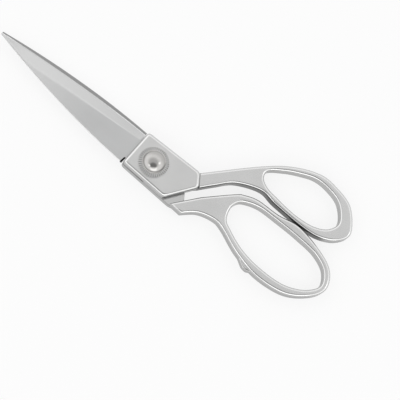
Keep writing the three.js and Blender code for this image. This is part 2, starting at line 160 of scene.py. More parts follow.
class ShearsThumbBowSizes(bpy.types.PropertyGroup):
    hole_x: place("Hole X", "Pivot axis to the middle of the hole, along the blades", -0.0665)
    hole_y: place("Hole Y", "Blade axis to the middle of the hole", -0.0386)
    hole_length: length("Hole length", "Length of the thumb hole", 0.0438)
    hole_height: length("Hole height", "Height of the thumb hole", 0.021)
    top: length("Top wall", "Wall on the outer side", 0.00373)
    end: length("End wall", "Wall at the far end", 0.0079)
    low: length("Low wall", "Wall on the finger side", 0.0032)
    neck: length("Neck wall", "Wall at the shank", 0.0)


class ShearsFingerBowSizes(bpy.types.PropertyGroup):
    hole_x: place("Hole X", "Pivot axis to the middle of the hole, along the blades", -0.0726)
    hole_y: place("Hole Y", "Blade axis to the middle of the hole", -0.008)
    hole_length: length("Hole length", "Length of the finger hole", 0.0588)
    hole_height: length("Hole height", "Height of the finger hole", 0.0244)
    top: length("Top wall", "Wall on the thumb side", 0.00315)
    end: length("End wall", "Wall at the far end", 0.0034)
    low: length("Low wall", "Wall on the outer side", 0.0045)
    neck: length("Neck wall", "Wall at the shank", 0.0047)
    slim: length("Slimming", "How much the outer wall thins towards the shank", 0.0009)
    lug_x: place("Lug X", "Pivot axis to the crest of the lug, along the blades", -0.0684)
    lug_y: place("Lug Y", "Blade axis to the crest of the lug", 0.0099)
    lug_length: length("Lug length", "Length of the lug's slope", 0.0086)
    lug_rise: length("Lug rise", "Height of the lug's slope", 0.0036)
    lug_floor: place("Lug floor", "Meeting plane to the lower face of the lug", -0.0025)
    lug_thickness: length("Lug thickness", "Thickness of the lug", 0.005)
    lug_arris: length("Lug arris", "Rounding of the lug's edges", 0.0004)


class ShearsPivotSizes(bpy.types.PropertyGroup):
    screw_radius: length("Screw radius", "Radius of the screw's shank", 0.0025)
    head_radius: length("Head radius", "Radius of the countersunk head", 0.005)
    head_height: length("Head height", "Height of the countersunk head", 0.0025)
    recess: length("Recess", "Screw head below the rest face", 0.00025)
    slot_width: length("Slot width", "Width of the driver slot", 0.0012)
    slot_depth: length("Slot depth", "Depth of the driver slot", 0.001)
    bush_radius: length("Bush radius", "Radius of the bush", 0.0035)
    shelf: length("Shelf", "Metal between the screw's seat and the bush", 0.0004)
    spring_radius: length("Spring radius", "Radius of the spring washer", 0.0051)
    spring_pocket: length("Spring pocket", "Depth of the pocket under the toothed washer", 0.00125)
    washer_radius: length("Washer radius", "Radius over the teeth", 0.0079)
    washer_root: length("Washer root", "Radius at the foot of the teeth", 0.0061)
    washer_valley: length("Washer valley", "Radius at the outer end of the valleys", 0.0076)
    washer_thickness: length("Washer thickness", "Thickness of the toothed washer", 0.0009)
    tooth_fall: length("Tooth fall", "How far a tooth's crest falls to its outer end", 0.00008)
    tooth_foot: length("Tooth foot", "Washer left under the outer end of a valley", 0.0003)
    washer_teeth: IntProperty(name="Teeth", description="Teeth on the washer", default=42, min=3)
    cap_radius: length("Cap radius", "Radius of the domed cap", 0.006)
    cap_skirt: length("Cap skirt", "Straight edge under the dome", 0.0003)
    cap_dome: length("Cap dome", "Height of the dome", 0.0028)
    thread: length("Thread", "Screw inside the cap", 0.0016)


class ShearsFits(bpy.types.PropertyGroup):
    ride: length("Ride", "Between the two halves where they slide", 0.0001)
    seat: length("Seat", "Round a part that is set into another", 0.0003)
    touch: length("Touch", "Between flat faces that touch", 0.00005)
    run: length("Run", "Radial clearance on a turning fit", 0.00008)


class ShearsFinishes(bpy.types.PropertyGroup):
    chrome: colour("Handle chrome", "Plated handles", (0.85, 0.85, 0.845))
    # Painted shade: the side walls are painted darker than the faces
    chrome_wall_shade: colour("Wall chrome", "Side walls of the handles", (0.65, 0.65, 0.647))
    # Painted shade: dark colour on walls close to another wall, in place of the shade between the handles
    chrome_gap_shade: colour("Gap chrome", "Walls between the handles, which no polish reaches", (0.2, 0.2, 0.198))
    # Painted shade: near-black colour that stands in for the shade in the seams, relief and notch
    gap: colour("Gap", "Steel in the seams and the heel relief", (0.05, 0.05, 0.05))
    ground_steel: colour("Ground steel", "Outer faces of the blades", (0.68, 0.684, 0.684))
    tip_steel: colour("Tip steel", "Outer faces of the blades near the tips", (0.77, 0.772, 0.77))
    # Painted light: the sloping grind is painted lighter than the flat
    bevel_light_steel: colour("Bevel steel", "Sloping grind of the blades", (0.72, 0.722, 0.72))
    # Painted highlight: near-white colour on the honed edge and corners
    honed_highlight_steel: colour("Honed steel", "Honed edge and corners of the blades", (0.97, 0.97, 0.97))
    # Painted shade: inner faces painted dark in place of the shade from the other blade
    hollow_steel: colour("Hollow steel", "Hollow ground inner faces of the blades", (0.39, 0.39, 0.39))
    pivot_steel: colour("Pivot steel", "Spring washer and screw", (0.80, 0.80, 0.79))
    # Painted highlight: the washer is painted near white so its teeth shine
    tooth_highlight_steel: colour("Tooth steel", "Teeth of the toothed washer", (0.98, 0.98, 0.97))
    # Painted shade: near-black colour in the valleys between the teeth
    valley_shade_steel: colour("Valley steel", "Between the teeth", (0.09, 0.09, 0.088))
    cap_mirror: colour("Cap mirror", "Polished cap", (0.58, 0.57, 0.555))
    bronze: colour("Bronze", "Bush", (0.62, 0.43, 0.20))
    floor: colour("Floor", "Table under the shears", (0.96, 0.96, 0.96))


class ShearsStage(bpy.types.PropertyGroup):
    distance: length("Camera distance", "Camera to the shears", 1.2)
    view_width: length("View width", "Width of the picture at the shears", 0.1956)
    view_tilt: angle("Tilt", "View direction off the pivot axis, to the finger side", 15)
    view_turn: angle("Turn", "Slope of the blade axis in the picture", 41.16)
    aim_right: place("Aim right", "Middle of the picture, to the right of the pivot", 0.02257)
    aim_down: place("Aim down", "Middle of the picture, below the pivot", 0.01851)
    floor_size: length("Floor size", "Side of the floor", 6.0)


# Outlines

# How far the ends of a rounding pull towards its corner
CORNER_PULL = 2 / 3


def flat(x, y):
    return Vector((x, y, 0.0))


def smooth_line(knots, steps):
    """Points on a smooth open curve through the knots."""
    line = []
    last = len(knots) - 1
    for i in range(last):
        start, end = knots[i], knots[i + 1]
        before, after = knots[max(i - 1, 0)], knots[min(i + 2, last)]
        line += interpolate_bezier(
            start, start + (end - before) / 6, end - (after - start) / 6, end, steps + 1)[:-1]
    return line + [knots[last]]


def smooth_ring(knots, steps):
    """Points on a smooth closed curve through the knots."""
    ring = []
    count = len(knots)
    for i in range(count):
        before, start, end, after = (knots[(i + k) % count] for k in (-1, 0, 1, 2))
        lead, span, tail = (
            (b - a).length ** 0.5 for a, b in ((before, start), (start, end), (end, after)))
        leave = ((start - before) / lead - (end - before) / (lead + span) + (end - start) / span) * span
        arrive = ((end - start) / span - (after - start) / (span + tail) + (after - end) / tail) * span
        ring += interpolate_bezier(start, start + leave / 3, end - arrive / 3, end, steps + 1)[:-1]
    return ring


def rounding(start, corner, end, count, pull=CORNER_PULL):
    """Points on a curve that rounds a corner."""
    return interpolate_bezier(start, start.lerp(corner, pull), end.lerp(corner, pull), end, count)


def rounded_corners(corners, reach, steps):
    """The polygon's outline with each corner rounded over the reach on both of its sides."""
    line = []
    for i, corner in enumerate(corners):
        start = corner + (corners[i - 1] - corner).normalized() * reach
        end = corner + (corners[(i + 1) % len(corners)] - corner).normalized() * reach
        line += rounding(start, corner, end, steps + 1)
    return line


def beside(start, end, part, push):
    """A point part of the way from start to end, pushed to the left."""
    run = end - start
    return start + run * part + Vector((-run.y, run.x, 0.0)).normalized() * push


# Meshes

# How far a cutter stands out past what it cuts
CUT_OVER = 0.001
MERGE_WITHIN = 1e-7


def ring_edges(bm, points):
    corners = [bm.verts.new(point) for point in points]
    return [bm.edges.new((corners[i - 1], corners[i])) for i in range(len(corners))]


def only_faces(result):
    return [item for item in result["geom"] if isinstance(item, bmesh.types.BMFace)]


def filled(bm, edges):
    return only_faces(bmesh.ops.triangle_fill(
        bm, use_beauty=True, use_dissolve=False, edges=edges, normal=(0, 0, 1)))


def raised(bm, faces, height):
    """Pulls a flat region up into a plate and returns its upper faces."""
    top = only_faces(bmesh.ops.extrude_face_region(bm, geom=faces))
    bmesh.ops.translate(bm, vec=(0, 0, height), verts=list({v for face in top for v in face.verts}))
    bmesh.ops.recalc_face_normals(bm, faces=bm.faces[:])
    return top


def crowned(bm, faces, width, height, steps):
    """Rounds the border of a flat region, in from its walls and up from its level."""
    for i in range(steps):
        low, high = (pi / 2 * k / steps for k in (i, i + 1))
        bmesh.ops.inset_region(
            bm, faces=faces, thickness=width * (cos(low) - cos(high)),
            depth=height * (sin(high) - sin(low)), use_boundary=True, use_even_offset=True,
        )


def slab(outline, height):
    """A plain plate."""
    bm = bmesh.new()
    raised(bm, filled(bm, ring_edges(bm, outline)), height)
    return bm


def crowned_plate(outlines, wall, upper_border, lower_border):
    """A plate with rounded borders, given as width, height and steps, above and below its wall."""
    bm = bmesh.new()
    lower = filled(bm, [edge for outline in outlines for edge in ring_edges(bm, outline)])
    upper = raised(bm, lower, wall)
    crowned(bm, upper, *upper_border)
    crowned(bm, lower, *lower_border)
    return bm


def turned(profile, steps):
    """A closed solid turned about the pivot axis from radius and height pairs."""
    bm = bmesh.new()
    corners = [bm.verts.new((radius, 0, height)) for radius, height in profile]
    edges = [bm.edges.new(pair) for pair in zip(corners, corners[1:])]
    bmesh.ops.spin(
        bm, geom=corners + edges, cent=(0, 0, 0), axis=(0, 0, 1), dvec=(0, 0, 0),
        angle=2 * pi, steps=steps, use_merge=True, use_normal_flip=False, use_duplicate=False,
    )
    bmesh.ops.remove_doubles(bm, verts=bm.verts[:], dist=MERGE_WITHIN)
    bmesh.ops.recalc_face_normals(bm, faces=bm.faces[:])
    return bm


def new_object(bm, name):
    mesh = bpy.data.meshes.new(name)
    bm.to_mesh(mesh)
    bm.free()
    piece = bpy.data.objects.new(name, mesh)
    bpy.context.scene.collection.objects.link(piece)
    return piece


def at_pivot(bm, name):
    bmesh.ops.translate(bm, vec=PIVOT, verts=bm.verts[:])
    return new_object(bm, name)


def in_half(bm, name, floor, turned_over=False):
    """Lifts a shape to its floor and turns it over where it is for the finger half."""
    bmesh.ops.translate(bm, vec=(0, 0, floor), verts=bm.verts[:])
    if turned_over:
        bmesh.ops.rotate(bm, cent=(0, 0, 0), matrix=Matrix.Rotation(pi, 3, "X"), verts=bm.verts[:])
    return at_pivot(bm, name)


def combine(piece, tool, operation):
    """Joins or cuts the piece with the tool, which is used up."""
    step = piece.modifiers.new("Combine", "BOOLEAN")
    step.operation = operation
    step.solver = "EXACT"
    step.object = tool
    graph = bpy.context.evaluated_depsgraph_get()
    mesh = bpy.data.meshes.new_from_object(piece.evaluated_get(graph))
    piece.modifiers.clear()
    old = piece.data
    piece.data = mesh
    mesh.name = piece.name
    bpy.data.meshes.remove(old)
    used = tool.data
    bpy.data.objects.remove(tool)
    bpy.data.meshes.remove(used)


# Marks for the finishes to read

# A normal with more than this across the pivot axis is a wall's
WALL_NORMAL = 0.5
# How far off its own wall a ray starts
WALL_CLEAR = 0.00005
# Mark of the bare faces where the halves meet, for a little painted shade
BARE_FACE_SHADE = 0.2


def mark(mesh, name, values, domain="POINT"):
    """Writes one value for each vertex, corner or face."""
    marks = mesh.attributes.new(name, "FLOAT", domain)
    marks.data.foreach_set("value", values)


def mark_lean(mesh):
    """Marks how far the surface leans from level."""
    mark(mesh, "lean", [1 - abs(corner.vector.z) for corner in mesh.corner_normals], "CORNER")


def mark_grind(mesh):
    """Marks how far each face of a blade leans across the blade."""
    leans = []
    for face in mesh.polygons:
        across = face.normal.yz.length
        leans.append(1 - abs(face.normal.z) / across if across else 0.0)
    mark(mesh, "lean", leans, "FACE")


def mark_gap_shade(pieces, reach, inside):
    """Marks walls that stand close to another wall, and the bare faces inside the halves, for painted shade.
    """
    trees = []
    for piece in pieces:
        points = [vertex.co for vertex in piece.data.vertices]
        trees.append(BVHTree.FromPolygons(points, [face.vertices for face in piece.data.polygons]))
    for piece in pieces:
        values = []
        for vertex in piece.data.vertices:
            out = flat(vertex.normal.x, vertex.normal.y)
            nearest = reach
            if out.length > WALL_NORMAL:
                out.normalize()
                start = vertex.co + Vector((out.x, out.y, 1.0)) * WALL_CLEAR
                hits = [tree.ray_cast(start, out, reach)[3] for tree in trees]
                nearest = min([hit for hit in hits if hit is not None], default=reach)
            bare = abs(vertex.co.z - PIVOT.z) < inside
            values.append(BARE_FACE_SHADE if bare else 1 - nearest / reach)
        mark(piece.data, "gap", values)


# Finishes

# Ranges over which a finish changes: distance from the pivot, lean, and nearness of a wall. The lean and
# wall ranges paint light and shade.
TIP_WEAR = (0.035, 0.075)
# Lean ranges of the painted light on the grind and the painted highlight on the hone
BEVEL_LIGHT_LEAN = (0.002, 0.012)
HONED_HIGHLIGHT_LEAN = (0.08, 0.2)
# Lean over which the handle walls take their painted shade
WALL_SHADE_LEAN = (0.12, 0.5)
CHROME_GAP_SHADE = (0.1, 0.6)
TOOTH_VALLEY_SHADE = (0.1, 0.9)
# The middle of a noise, where most of its values lie
NOISE_MIDDLE = (0.3, 0.7)
CHROME_SHEEN = (0.58, 0.58, 0.58, 1.0)
# How strongly large faces lead the shading
FLAT_WEIGHT = 100


def add_node(tree, kind, inputs, **settings):
    """A node with its settings, and with its inputs given as values or linked from other nodes."""
    node = tree.nodes.new(kind)
    for name, value in settings.items():
        setattr(node, name, value)
    for name, value in inputs.items():
        if isinstance(value, bpy.types.NodeSocket):
            tree.links.new(value, node.inputs[name])
        else:
            node.inputs[name].default_value = value
    return node


def blended(tree, factor, low, high):
    """Goes over from one colour to another as the factor rises."""
    return add_node(
        tree, "ShaderNodeMix", {"Factor": factor, "A": low, "B": high}, data_type="RGBA").outputs["Result"]


def rising(tree, value, low, high):
    """Rises smoothly from 0 to 1 while the value goes from low to high."""
    return add_node(
        tree, "ShaderNodeMapRange", {"Value": value, "From Min": low, "From Max": high},
        interpolation_type="SMOOTHSTEP").outputs["Result"]


def spread(tree, noise, low, high):
    """Brings the middle of a noise to the range from low to high."""
    least, most = NOISE_MIDDLE
    return add_node(tree, "ShaderNodeMapRange", {
        "Value": noise, "From Min": least, "From Max": most, "To Min": low, "To Max": high,
    }).outputs["Result"]


def own_place(tree):
    return tree.nodes.new("ShaderNodeTexCoord").outputs["Object"]


def pattern(tree, scale, detail, stretch=(1.0, 1.0, 1.0)):
    """Noise on the piece's own coordinates."""
    where = add_node(tree, "ShaderNodeMapping", {"Vector": own_place(tree), "Scale": stretch})
    return add_node(tree, "ShaderNodeTexNoise", {
        "Vector": where.outputs["Vector"], "Scale": scale, "Detail": detail,
    }).outputs["Fac"]


def marked(tree, name, low, high):
    """A mark on the piece, brought from the range low to high to 0 to 1."""
    read = add_node(tree, "ShaderNodeAttribute", {}, attribute_name=name)
    return rising(tree, read.outputs["Fac"], low, high)


def along_blade(tree):
    """Rises from 0 near the pivot to 1 near the tips."""
    split = add_node(tree, "ShaderNodeSeparateXYZ", {"Vector": own_place(tree)})
    return rising(tree, split.outputs["X"], *(PIVOT.x + wear for wear in TIP_WEAR))


def clouded(tree, base, clouds, depth):
    """The colour, which falls by the depth where the clouds are low."""
    dim = (*(level * (1 - depth) for level in base[:3]), 1.0)
    return blended(tree, spread(tree, clouds, 0.0, 1.0), dim, base)


def new_metal(name, base, roughness):
    material = bpy.data.materials.new(name)
    material.use_nodes = True
    tree = material.node_tree
    shader = tree.nodes["Principled BSDF"]
    shader.inputs["Base Color"].default_value = base
    shader.inputs["Metallic"].default_value = 1.0
    shader.inputs["Roughness"].default_value = roughness
    return material, tree, shader


def set_surface(tree, shader, shade, grain, smooth, rough):
    """Links the colour, and a roughness that follows the grain."""
    tree.links.new(shade, shader.inputs["Base Color"])
    tree.links.new(spread(tree, grain, smooth, rough), shader.inputs["Roughness"])


def set_relief(tree, shader, grain, strength, depth):
    bump = add_node(
        tree, "ShaderNodeBump", {"Height": grain, "Strength": strength, "Distance": depth})
    tree.links.new(bump.outputs["Normal"], shader.inputs["Normal"])


def ground_steel(name, base, tip, bevel, honed, roughness, scratch):
    """Steel ground across the blade: fine scratches from edge to spine and soft clouds.

    Cloth has rubbed the tip brighter. The sloping grind is painted a little lighter as painted light, and
    the honed edge and corners are painted near white as a painted highlight.
    """
    material, tree, shader = new_metal(name, base, roughness)
    scratches = pattern(tree, scale=5200.0, detail=3.0, stretch=(1.0, 0.04, 0.04))
    clouds = pattern(tree, scale=90.0, detail=2.0, stretch=(0.5, 1.0, 1.0))
    shade = clouded(tree, base, clouds, depth=0.05)
    shade = blended(tree, along_blade(tree), shade, tip)
    # Painted light and painted highlight, by how far a face leans
    shade = blended(tree, marked(tree, "lean", *BEVEL_LIGHT_LEAN), shade, bevel)
    shade = blended(tree, marked(tree, "lean", *HONED_HIGHLIGHT_LEAN), shade, honed)
    set_surface(tree, shader, shade, scratches, smooth=roughness - 0.05, rough=roughness + 0.07)
    set_relief(tree, shader, scratches, strength=scratch, depth=0.00002)
    return material


def handle_chrome(name, base, wall, gap, roughness):
    """Bright plate over a buffed casting: slow waves, faint buffing haze and fine scuffs.

    The walls are painted darker than the faces as painted shade, and walls in the gaps and the faces where
    the halves meet get darker painted shade.
    """
    material, tree, shader = new_metal(name, base, roughness)
    waves = pattern(tree, scale=160.0, detail=1.0)
    scuffs = pattern(tree, scale=2600.0, detail=4.0, stretch=(0.18, 1.0, 1.0))
    haze = pattern(tree, scale=70.0, detail=3.0)
    shade = clouded(tree, base, haze, depth=0.06)
    # Painted shade: walls are painted darker by how far they lean
    shade = blended(tree, marked(tree, "lean", *WALL_SHADE_LEAN), shade, wall)
    # Painted shade: walls near another wall, and the meeting faces, go dark
    shade = blended(tree, marked(tree, "gap", *CHROME_GAP_SHADE), shade, gap)
    set_surface(tree, shader, shade, scuffs, smooth=roughness - 0.04, rough=roughness + 0.05)
    shader.inputs["Specular Tint"].default_value = CHROME_SHEEN
    set_relief(tree, shader, waves, strength=0.06, depth=0.0002)
    return material


def turned_steel(name, base, gap, roughness):
    """Steel or bronze off the lathe: fine rings round the pivot axis, and painted shade where it is marked
    as a gap.
    """
    material, tree, shader = new_metal(name, base, roughness)
    centre = add_node(tree, "ShaderNodeMapping", {
        "Vector": own_place(tree), "Location": (-PIVOT.x, -PIVOT.y, 0.0)})
    rings = add_node(tree, "ShaderNodeTexWave", {
        "Vector": centre.outputs["Vector"], "Scale": 900.0, "Distortion": 2.0,
    }, wave_type="RINGS", rings_direction="Z").outputs["Fac"]
    haze = pattern(tree, scale=400.0, detail=2.0)
    shade = clouded(tree, base, haze, depth=0.08)
    shade = blended(tree, marked(tree, "gap", *TOOTH_VALLEY_SHADE), shade, gap)
    set_surface(tree, shader, shade, rings, smooth=roughness - 0.04, rough=roughness + 0.06)
    set_relief(tree, shader, rings, strength=0.1, depth=0.00002)
    return material


def mirror_steel(name, base, roughness):
    """Polished cap: a faint haze and hair scratches."""
    material, tree, shader = new_metal(name, base, roughness)
    haze = pattern(tree, scale=260.0, detail=2.0)
    hairs = pattern(tree, scale=3000.0, detail=2.0, stretch=(0.1, 1.0, 1.0))
    shade = clouded(tree, base, haze, depth=0.05)
    set_surface(tree, shader, shade, hairs, smooth=roughness, rough=roughness + 0.05)
    return material


def finish_named(name, maker, **values):
    """The finish of that name, made once."""
    return bpy.data.materials.get(name) or maker(name, **values)


def seam_steel(finishes):
    """Painted shade in the seams, the relief and the heel notch: one dark colour all over."""
    gap = finishes.gap
    return finish_named(
        "seam_steel", ground_steel, base=gap, tip=gap, bevel=gap, honed=gap, roughness=0.5, scratch=0.2)


def lathe_steel(finishes):
    return finish_named(
        "lathe_steel", turned_steel, base=finishes.pivot_steel, gap=finishes.gap, roughness=0.2)


def set_finishes(mesh, materials):
    """Fills the slots one by one, because clearing them would make every face use the first."""
    for number, material in enumerate(materials):
        if number < len(mesh.materials):
            mesh.materials[number] = material
        else:
            mesh.materials.append(material)


def dress(piece, body, node, materials, crease):
    """Smooth shading, finishes and the ties to the frame."""
    mesh = piece.data
    if not mesh.polygons:
        raise RuntimeError(f"{piece.name} came out empty")
    set_finishes(mesh, materials)
    mesh.shade_smooth()
    mesh.set_sharp_from_angle(angle=crease)
    weighted = piece.modifiers.new("Flat faces stay flat", "WEIGHTED_NORMAL")
    weighted.keep_sharp = True
    weighted.weight = FLAT_WEIGHT
    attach(piece, body)
    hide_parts(node)


# Heights and bores of the pivot

BORE_SIDES = 64


def pivot_heights(scene):
    """Heights from the meeting plane."""
    pivot, fits, block = scene.shears_pivot, scene.shears_fits, scene.shears_block
    head_bottom = pivot.recess - block.thickness
    head_top = head_bottom + pivot.head_height
    cap_floor = block.thickness + pivot.washer_thickness + 2 * fits.touch
    return SimpleNamespace(
        head_bottom=head_bottom,
        head_top=head_top,
        shelf_top=head_top + pivot.shelf,
        pocket_floor=block.thickness - pivot.spring_pocket,
        washer_floor=block.thickness + fits.touch,
        cap_floor=cap_floor,
        screw_top=cap_floor + pivot.thread - fits.touch,
    )


def finger_bore(scene):
    pivot, fits, block = scene.shears_pivot, scene.shears_fits, scene.shears_block
    heights = pivot_heights(scene)
    head = pivot.head_radius + fits.seat
    neck = pivot.screw_radius + fits.seat
    seat = pivot.bush_radius + fits.touch
    outside = -block.thickness - CUT_OVER
    return at_pivot(turned((
        (0, outside), (head, outside), (head, heights.head_bottom), (neck, heights.head_top),
        (neck, heights.shelf_top), (seat, heights.shelf_top), (seat, CUT_OVER), (0, CUT_OVER),
    ), BORE_SIDES), "finger_bore")


def thumb_bore(scene):
    pivot, fits, block = scene.shears_pivot, scene.shears_fits, scene.shears_block
    floor = pivot_heights(scene).pocket_floor
    run = pivot.bush_radius + fits.run
    pocket = pivot.spring_radius + fits.seat
    outside = block.thickness + CUT_OVER
    return at_pivot(turned((
        (0, -CUT_OVER), (run, -CUT_OVER), (run, floor), (pocket, floor), (pocket, outside), (0, outside),
    ), BORE_SIDES), "thumb_bore")


# Handles

# Outlines of the two holes, as shares of half their length and half their height
THUMB_FORM = (
    (0.98, 0.33), (0.68, -0.24), (0.35, -0.66), (0.03, -0.95), (-0.33, -0.98), (-0.71, -0.77),
    (-1, -0.06), (-0.91, 0.48), (-0.64, 0.85), (-0.16, 1.03), (0.37, 1), (0.76, 0.91), (0.95, 0.67),
)
FINGER_FORM = (
    (0.92, 0.43), (1, -0.09), (0.95, -0.48), (0.83, -0.68), (0.63, -0.85), (0.28, -0.92),
    (-0.18, -0.96), (-0.59, -0.9), (-0.86, -0.61), (-0.98, -0.09), (-0.86, 0.4), (-0.54, 0.86),
    (-0.06, 1.02), (0.38, 0.94), (0.76, 0.64),
)
# Which knots of those forms the outside of each bow follows
THUMB_TOP = 3
THUMB_END = slice(3, 9)
THUMB_LOW = 10
FINGER_TOP = slice(2, 6)
FINGER_END = slice(7, 13)
# Knots on the outer side of the finger bow, with the share of the slimming that each one gets
FINGER_SLIM = ((13, 1), (14, 0.5))
# Places on the outlines, as shares of the hole, of a wall or of the stretch between two corners
STOP_PLACE = 0.2
THROAT_PLACE = 0.405
NECK_PLACE = 0.5
SHOULDER_PLACE = 0.77
THUMB_SHANK_PLACES = (0.555, 0.225)
WAIST_PLACE = 0.39
WAIST_NECK = 0.55
HOLLOW_PLACE = 0.5
SHANK_FRONT = 0.13
SEAM_ENDS = (0.04, 0.96)
# Outline of the lug from its crest, as shares of its length and its rise
LUG_FORM = ((1, -1), (0.57, -0.45), (0.27, -0.08), (0, 0), (-0.16, -0.11), (-0.3, -0.31))
LUG_ROOT = ((-0.13, -1), (0.8, -1.3))

BOW_STEPS = 16
BORDER_STEPS = 6
ARRIS_STEPS = 1
LUG_STEPS = 4
LUG_ARRIS_STEPS = 2
TANG_STEPS = 16
# Place of the seam finish, a painted shade, among a handle's finishes
SEAM = 1


def bow_points(bow, form):
    """The hole's knots, and the rim's knots outside them."""
    half = Vector((bow.hole_length / 2, bow.hole_height / 2))
    hole, rim = [], []
    for along, across in form:
        hole.append(flat(bow.hole_x + along * half.x, bow.hole_y + across * half.y))
        reach = half.x + (bow.end if along < 0 else bow.neck)
        rise = half.y + (bow.top if across < 0 else bow.low)
        rim.append(flat(bow.hole_x + along * reach, bow.hole_y + across * rise))
    return hole, rim


def bow_stop(scene):
    """Where the bows meet when the shears are shut."""
    bow = scene.shears_thumb_bow
    return flat(bow.hole_x - STOP_PLACE * bow.hole_length, bow.hole_y + bow.hole_height / 2 + bow.low)


def block_back(block, swell):
    """The two corners of a block's back, where its shank comes out."""
    side = block.width / 2
    return flat(-block.back, block.back_chamfer - side), flat(block.back_chamfer - block.back, -side - swell)


def thumb_outline(scene):
    handle, block, bow = scene.shears_handle, scene.shears_block, scene.shears_thumb_bow
    rim = bow_points(bow, THUMB_FORM)[1]
    stop = bow_stop(scene)
    lower, upper = block_back(block, block.thumb_swell)
    neck = beside(upper, rim[THUMB_TOP], NECK_PLACE, handle.neck_bow)
    shoulder = beside(upper, rim[THUMB_TOP], SHOULDER_PLACE, handle.neck_bow)
    throat = flat(bow.hole_x + THROAT_PLACE * bow.hole_length, stop.y - handle.throat)
    run = [
        upper, neck, shoulder, *rim[THUMB_END], stop - flat(0, handle.stop_gap / 2), rim[THUMB_LOW], throat,
        *(beside(upper, neck, part, -handle.thumb_shank) for part in THUMB_SHANK_PLACES), lower,
    ]
    root = flat(handle.shank_root, handle.shank_root)
    return smooth_line(run, BOW_STEPS) + [lower + root, upper + root]


def finger_outline(scene):
    """The outline of the finger shank and bow, beside the thumb block."""
    handle, block, bow = scene.shears_handle, scene.shears_block, scene.shears_finger_bow
    rim = bow_points(bow, FINGER_FORM)[1]
    front = flat(-block.back_short, block.width / 2)
    back = block_back(block, block.thumb_swell)[0]
    heel = flat(-block.back - handle.heel, block.width / 2)
    waist = flat(
        bow.hole_x + bow.hole_length / 2 + WAIST_NECK * bow.neck, bow.hole_y + WAIST_PLACE * bow.hole_height)
    run = [
        beside(front, back, 1.0, -handle.shank_space - handle.shank_flare),
        *rim[FINGER_TOP], bow_stop(scene) + flat(0, handle.stop_gap / 2), *rim[FINGER_END],
        *(rim[knot] - flat(0, part * bow.slim) for knot, part in FINGER_SLIM),
        waist, beside(waist, heel, HOLLOW_PLACE, -handle.waist_bow), heel,
    ]
    line = [point for point in smooth_line(run, BOW_STEPS) if (point - heel).length > handle.border]
    return line + [heel, beside(front, back, SHANK_FRONT, -handle.shank_space)]


def handle_plate(scene, name, outline, bow, form):
    """A shank and its bow."""
    handle = scene.shears_handle
    hole = smooth_ring(bow_points(bow, form)[0], BOW_STEPS)
    wall = handle.thickness - 2 * handle.crown
    border = (handle.border, handle.crown, BORDER_STEPS)
    return in_half(crowned_plate((outline, hole), wall, border, border), name, -wall / 2)


def bow_lug(scene):
    """The small lug on the outside of the finger bow."""
    bow = scene.shears_finger_bow
    line, root = (
        [flat(bow.lug_x + along * bow.lug_length, bow.lug_y + rise * bow.lug_rise) for along, rise in form]
        for form in (LUG_FORM, LUG_ROOT))
    outline = smooth_line(line, LUG_STEPS) + root
    border = (bow.lug_arris, bow.lug_arris, LUG_ARRIS_STEPS)
    bm = crowned_plate((outline,), bow.lug_thickness - 2 * bow.lug_arris, border, border)
    return in_half(bm, "bow_lug", bow.lug_floor + bow.lug_arris)


def pivot_block(scene, swell, turned_over):
    block, fits = scene.shears_block, scene.shears_fits
    side = block.width / 2
    corners = [
        flat(block.front, side), flat(-block.back_short, side), *block_back(block, swell),
        flat(block.front, -side),
    ]
    outline = rounded_corners(corners, block.corner, BORDER_STEPS)
    floor = fits.ride / 2 + block.arris
    bm = crowned_plate(
        (outline,), block.thickness - block.crown - floor,
        (block.border, block.crown, BORDER_STEPS), (block.arris, block.arris, ARRIS_STEPS))
    return in_half(bm, "pivot_block", floor, turned_over)


def set_slot(bm, number):
    """Gives all faces of a cutter one finish, which its cut takes over."""
    for face in bm.faces:
        face.material_index = number


def shank_seam(scene, swell, turned_over):
    """Cuts the line where a shank comes out of its block; its faces take the seam finish, painted dark as
    painted shade.
    """
    block, handle = scene.shears_block, scene.shears_handle
    lower, upper = block_back(block, swell)
    start, end = (lower.lerp(upper, part) for part in SEAM_ENDS)
    bm = slab((
        beside(start, end, 0, -handle.seam / 4), beside(start, end, 1, -handle.seam / 4),
        beside(start, end, 1, handle.seam), beside(start, end, 0, handle.seam),
    ), 2 * handle.seam)
    set_slot(bm, SEAM)
    return in_half(bm, "shank_seam", handle.thickness / 2 - handle.seam, turned_over)


def edge_relief(scene, turned_over):
    """Cuts the open line between the halves, beside the pivot; its faces take the seam finish, painted dark
    as painted shade.
    """
    block = scene.shears_block
    front, back = block.front + CUT_OVER, -block.relief_end
    out, deep = block.width / 2 + CUT_OVER, block.width / 2 - block.relief_depth
    bm = slab(
        (flat(front, out), flat(front, deep), flat(back, deep), flat(back, out)), CUT_OVER + block.relief)
    set_slot(bm, SEAM)
    return in_half(bm, "edge_relief", -CUT_OVER, turned_over)


def tang_outline(scene, clearance, front):
    blade = scene.shears_blade
    half = blade.tang_width / 2 + clearance
    middle = half - blade.tang_length - clearance
    turns = [k * pi / TANG_STEPS for k in range(TANG_STEPS + 1)]
    end = [flat(middle - half * sin(turn), half * cos(turn)) for turn in turns]
    return [flat(front, -half), flat(front, half), *end]


def tang_pocket(scene, turned_over):
    """Cuts the pocket that a tang is set into."""
    blade, fits, block = scene.shears_blade, scene.shears_fits, scene.shears_block
    bm = slab(
        tang_outline(scene, fits.seat, block.front + CUT_OVER),
        CUT_OVER + fits.ride / 2 + blade.thickness + fits.seat)
    return in_half(bm, "tang_pocket", -CUT_OVER, turned_over)


